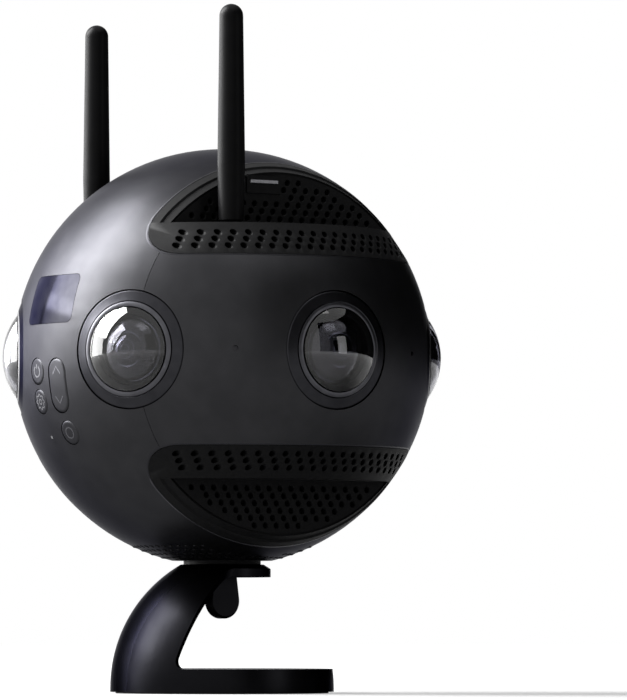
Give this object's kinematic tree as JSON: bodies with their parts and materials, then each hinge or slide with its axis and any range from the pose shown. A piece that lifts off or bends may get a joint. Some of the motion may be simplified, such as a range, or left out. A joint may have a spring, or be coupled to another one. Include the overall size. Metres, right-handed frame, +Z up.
{
  "type": "panoramic camera",
  "caption": "Ball-shaped panoramic camera with fisheye lenses round its middle, upright antennas, vented recesses and a curved open-sided stand with a clamp screw.",
  "frame": {"origin": "on the table under the middle of the stand", "axes": "+Z up; -Y towards the front lens and front vents, -X towards the display and its keys, +X towards the battery cap"},
  "size_m": [0.1429, 0.1504, 0.2312],
  "materials": {
    "shell_paint": "satin dark charcoal coat on cast alloy",
    "vent_plastic": "matt black moulding",
    "bezel_black": "satin black machined ring",
    "lens_glass": "coated clear glass",
    "barrel_black": "dull black lens barrel",
    "seal_rubber": "soft black rubber",
    "inner_glass": "coated small lens",
    "circuit_board": "green board",
    "chassis_alloy": "plain milled alloy",
    "thread_steel": "plain steel",
    "sink_alloy": "bead blasted alloy",
    "fan_plastic": "black moulded plastic",
    "inner_plastic": "grey black moulded plastic",
    "switch_metal": "thin sheet steel",
    "display_panel": "dark display panel",
    "window_gloss": "polished smoked window",
    "lamp_clear": "clear light guide",
    "jack_brass": "turned brass",
    "reader_steel": "pressed sheet steel",
    "card_plastic": "black card plastic",
    "key_gloss": "smooth dark key plastic",
    "cap_paint": "satin dark charcoal coat",
    "antenna_plastic": "satin black moulded sleeve",
    "stand_paint": "smooth satin black coat",
    "pad_rubber": "black rubber",
    "paddle_paint": "satin black coat"
  },
  "bodies": {
    "camera": {"stand": "stand_paint", "stand_pad": "pad_rubber", "foot_plate": "shell_paint", "main_shell": "shell_paint", "front_plate": "shell_paint", "rear_plate": "shell_paint", "front_top_vent": "vent_plastic", "front_bottom_vent": "vent_plastic", "rear_top_vent": "vent_plastic", "rear_bottom_vent": "vent_plastic", "front_top_recess": "vent_plastic", "front_bottom_recess": "vent_plastic", "rear_top_recess": "vent_plastic", "rear_bottom_recess": "vent_plastic", "lens_bezel_1": "bezel_black", "lens_bezel_2": "bezel_black", "lens_bezel_3": "bezel_black", "lens_bezel_4": "bezel_black", "lens_bezel_5": "bezel_black", "lens_bezel_6": "bezel_black", "lens_dome_1": "lens_glass", "lens_dome_2": "lens_glass", "lens_dome_3": "lens_glass", "lens_dome_4": "lens_glass", "lens_dome_5": "lens_glass", "lens_dome_6": "lens_glass", "lens_barrels": "barrel_black", "lens_seals": "seal_rubber", "inner_lenses": "inner_glass", "sensor_boards": "circuit_board", "chassis": "chassis_alloy", "lower_deck": "chassis_alloy", "tripod_bush": "thread_steel", "main_board": "circuit_board", "heat_sink": "sink_alloy", "fan_housing": "fan_plastic", "battery_bay": "inner_plastic", "control_board": "circuit_board", "key_switches": "switch_metal", "display_module": "display_panel", "display_window": "window_gloss", "status_lamp": "lamp_clear", "microphone_meshes": "switch_metal", "antenna_jacks": "jack_brass", "card_reader": "reader_steel"},
    "power_key": {"power_button": "key_gloss"},
    "settings_key": {"settings_button": "key_gloss"},
    "confirm_key": {"confirm_button": "key_gloss"},
    "rocker_key": {"up_down_rocker": "key_gloss"},
    "fan": {"fan_rotor": "fan_plastic"},
    "clamp_carrier": {"clamp_washer": "thread_steel"},
    "clamp": {"clamp_screw": "thread_steel", "clamp_paddle": "paddle_paint"},
    "battery": {"battery_pack": "inner_plastic", "battery_cap": "cap_paint"},
    "card": {"memory_card": "card_plastic"},
    "antenna_front": {"front_antenna": "antenna_plastic"},
    "antenna_rear": {"rear_antenna": "antenna_plastic"}
  },
  "joints": [
    {"name": "power_press", "type": "slide", "parent": "camera", "child": "power_key", "axis": [0.9933, -0.0769, 0.0867], "range_m": [0, 0.0005], "stiffness_N_per_m": 600},
    {"name": "settings_press", "type": "slide", "parent": "camera", "child": "settings_key", "axis": [0.97, -0.0811, 0.2294], "range_m": [0, 0.0005], "stiffness_N_per_m": 600},
    {"name": "confirm_press", "type": "slide", "parent": "camera", "child": "confirm_key", "axis": [0.9202, 0.0979, 0.379], "range_m": [0, 0.0005], "stiffness_N_per_m": 600},
    {"name": "rocker_tilt", "type": "hinge", "parent": "camera", "child": "rocker_key", "pos_m": [-0.06705, -0.0061, 0.10373], "axis": [0.0907, -0.9959, 0], "range_deg": [-1.2, 1.2], "stiffness_Nm_per_rad": 0.2},
    {"name": "fan_spin", "type": "hinge", "parent": "camera", "child": "fan", "pos_m": [0, 0, 0.158], "axis": [0, 0, 1], "continuous": true},
    {"name": "clamp_turn", "type": "hinge", "parent": "clamp_carrier", "child": "clamp", "pos_m": [0, 0, 0.035], "axis": [0, 0, -1], "range_deg": [0, 2700]},
    {"name": "clamp_drop", "type": "slide", "parent": "camera", "child": "clamp_carrier", "axis": [0, 0, -1], "range_m": [0, 0.0119]},
    {"name": "battery_slide", "type": "slide", "parent": "camera", "child": "battery", "axis": [1, 0, 0], "range_m": [0, 0.062]},
    {"name": "card_slide", "type": "slide", "parent": "camera", "child": "card", "axis": [0, -1, 0], "range_m": [0, 0.004]},
    {"name": "front_antenna_turn", "type": "hinge", "parent": "camera", "child": "antenna_front", "pos_m": [-0.0244, -0.0422, 0.16], "axis": [0, 0, 1], "range_deg": [-180, 180]},
    {"name": "rear_antenna_turn", "type": "hinge", "parent": "camera", "child": "antenna_rear", "pos_m": [-0.0244, 0.0422, 0.16], "axis": [0, 0, 1], "range_deg": [-180, 180]}
  ],
  "couplings": [
    {"joint": "clamp_turn", "follows": "clamp_drop", "rad_per_m": 3957.9}
  ]
}
